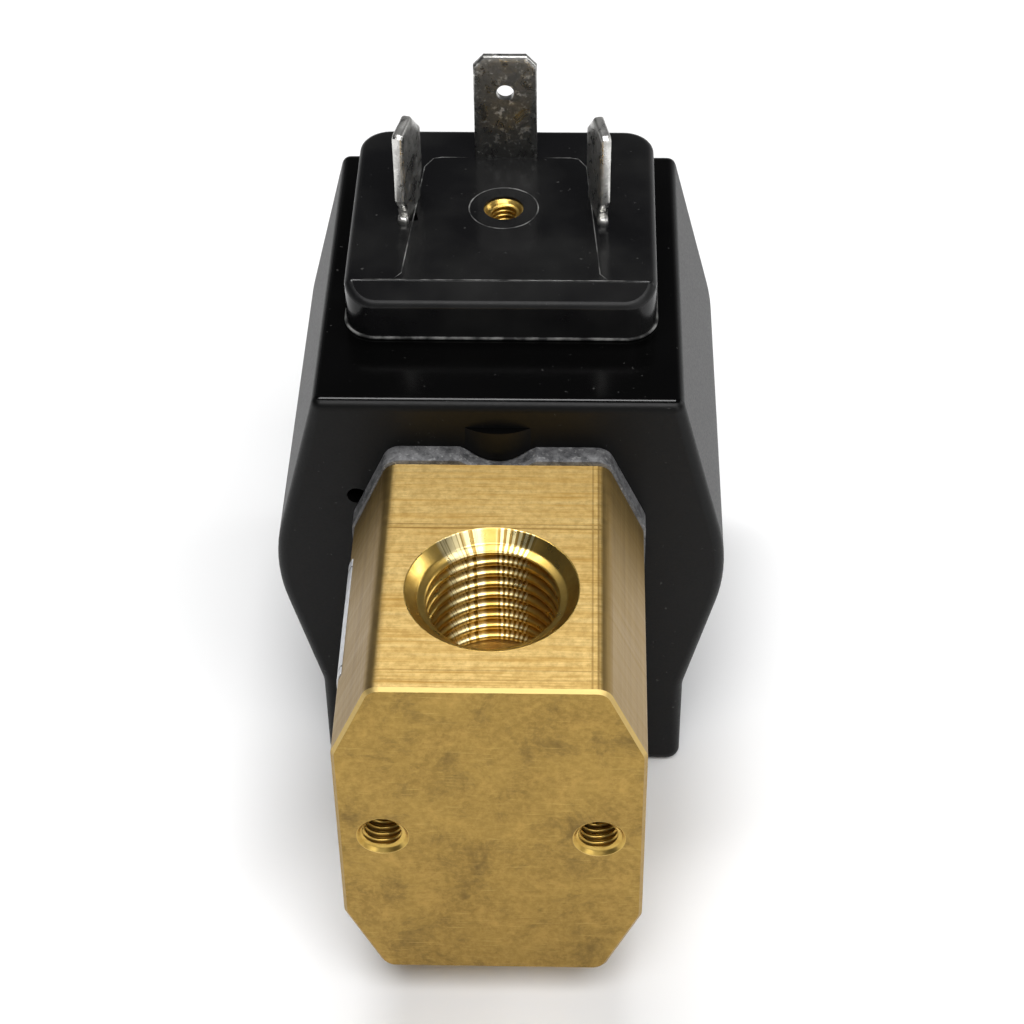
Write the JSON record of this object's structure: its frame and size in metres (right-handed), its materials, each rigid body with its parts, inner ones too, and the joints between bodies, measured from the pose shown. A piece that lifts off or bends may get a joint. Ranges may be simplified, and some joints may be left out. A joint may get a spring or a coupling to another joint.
{
  "type": "solenoid valve",
  "caption": "Direct-acting solenoid valve with an octagonal brass body, threaded ports, and a black moulded coil with blade contacts.",
  "frame": {"origin": "centre of the mounting face of the brass body, on the armature axis", "axes": "+Y along the armature from the mounting face to the coil nut, +Z towards the connector platform and the upper port, +X to the right seen from the mounting face; the valve lies on the flat foot of its coil"},
  "size_m": [0.0428, 0.0795, 0.0646],
  "materials": {
    "brass_body": "machined, lightly tarnished",
    "label_foil": "satin foil, blank",
    "gasket_plate": "rough moulded fibre-filled plate",
    "stainless": "turned",
    "rubber_seal": "matte",
    "core_steel": "turned magnetic stainless steel",
    "copper": "bright copper",
    "ptfe": "matte",
    "bobbin_plastic": "moulded glass-filled nylon",
    "tape": "polyester film",
    "yoke_steel": "zinc-plated mild steel",
    "tinned_contact": "tin-plated brass, tarnished",
    "coil_moulding": "glossy black thermoset moulding",
    "insert_brass": "turned",
    "zinc_steel": "zinc-plated"
  },
  "bodies": {
    "valve": {"valve_body": "brass_body", "nameplate": "label_foil", "coil_gasket": "gasket_plate", "armature_tube": "stainless", "tube_o_ring": "rubber_seal", "fixed_core": "core_steel", "shading_ring": "copper", "return_spring": "stainless", "coil_bobbin": "bobbin_plastic", "coil_winding": "copper", "winding_tape": "tape", "yoke": "yoke_steel", "flux_bush_front": "yoke_steel", "flux_bush_back": "yoke_steel", "contact_left": "tinned_contact", "contact_right": "tinned_contact", "earth_contact": "tinned_contact", "earth_link": "tinned_contact", "lead_wire_left": "copper", "lead_wire_right": "copper", "terminal_carrier": "coil_moulding", "connector_insert": "insert_brass", "coil_housing": "coil_moulding", "nut_seal": "rubber_seal", "spring_washer": "zinc_steel", "coil_nut": "zinc_steel"},
    "armature": {"plunger": "core_steel", "plunger_seal": "rubber_seal", "plunger_guide_ring": "ptfe"}
  },
  "joints": [
    {"name": "plunger_slide", "type": "slide", "parent": "valve", "child": "armature", "axis": [0, 1, 0], "range_m": [0, 0.002], "stiffness_N_per_m": 600, "springref_m": -0.005, "deforming": ["return_spring"]}
  ]
}
